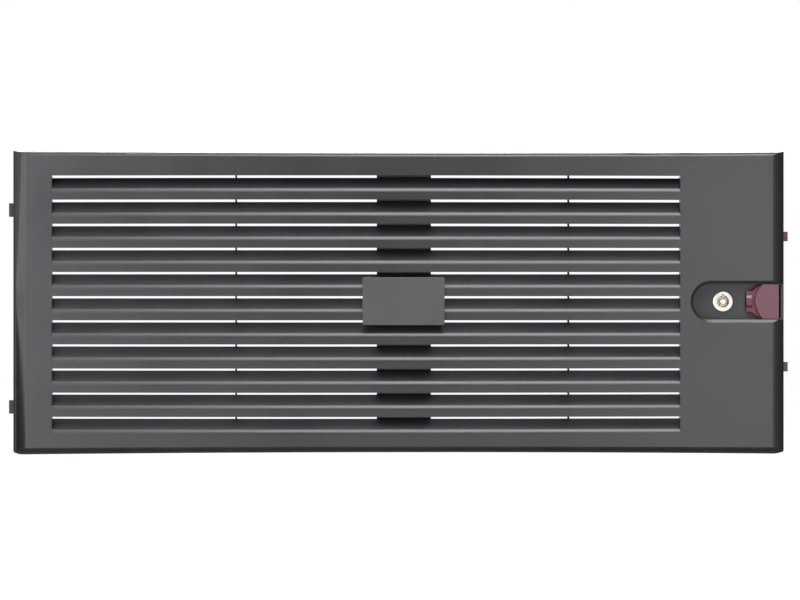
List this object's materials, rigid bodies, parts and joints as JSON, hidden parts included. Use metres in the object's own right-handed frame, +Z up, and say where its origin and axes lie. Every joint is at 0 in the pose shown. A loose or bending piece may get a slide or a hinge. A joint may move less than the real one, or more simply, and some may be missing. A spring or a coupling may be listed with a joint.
{
  "type": "server front bezel",
  "caption": "Louvred front bezel for a rack server, with side hooks, a sprung thumb latch and a tubular key lock.",
  "frame": {"origin": "the middle of the rear rim's plane, which the bezel meets the chassis with", "axes": "+X to the right seen from the front, +Z up, and the front faces -Y"},
  "size_m": [0.4486, 0.0312, 0.1765],
  "materials": {
    "bezel_plastic": "fine spark-textured charcoal moulding, satin",
    "badge_plastic": "smooth satin charcoal plate, blank",
    "foam_tape": "black double-sided foam tape",
    "latch_plastic": "burgundy moulding, satin gloss",
    "cover_plastic": "black moulding, fine texture",
    "spring_steel": "bright drawn wire",
    "screw_steel": "black zinc",
    "lock_nickel": "nickel plated, lightly turned",
    "lock_brass": "turned brass",
    "zinc_steel": "bright zinc plated"
  },
  "bodies": {
    "bezel": {"front_shell": "bezel_plastic", "badge_tape": "foam_tape", "badge_plate": "badge_plastic", "spring_upper": "spring_steel", "spring_lower": "spring_steel", "latch_cover": "cover_plastic", "cover_screws": "screw_steel", "lock_housing": "lock_nickel", "lock_sleeve": "lock_brass", "sleeve_pin": "spring_steel", "driver_pins": "lock_brass", "pin_springs": "spring_steel", "lock_washer": "zinc_steel", "lock_nut": "zinc_steel"},
    "latch": {"latch_slider": "latch_plastic"},
    "lock_core": {"lock_spindle": "lock_nickel", "key_pins": "lock_brass", "lock_cam": "zinc_steel", "cam_washer": "zinc_steel", "cam_nut": "zinc_steel"}
  },
  "joints": [
    {"name": "latch_slide", "type": "slide", "parent": "bezel", "child": "latch", "axis": [-1, 0, 0], "range_m": [0, 0.004], "stiffness_N_per_m": 600, "springref_m": -0.006, "deforming": ["spring_upper", "spring_lower"]},
    {"name": "lock_turn", "type": "hinge", "parent": "bezel", "child": "lock_core", "pos_m": [0.1859, -0.01, 0], "axis": [0, 1, 0], "range_deg": [-90, 0]}
  ]
}
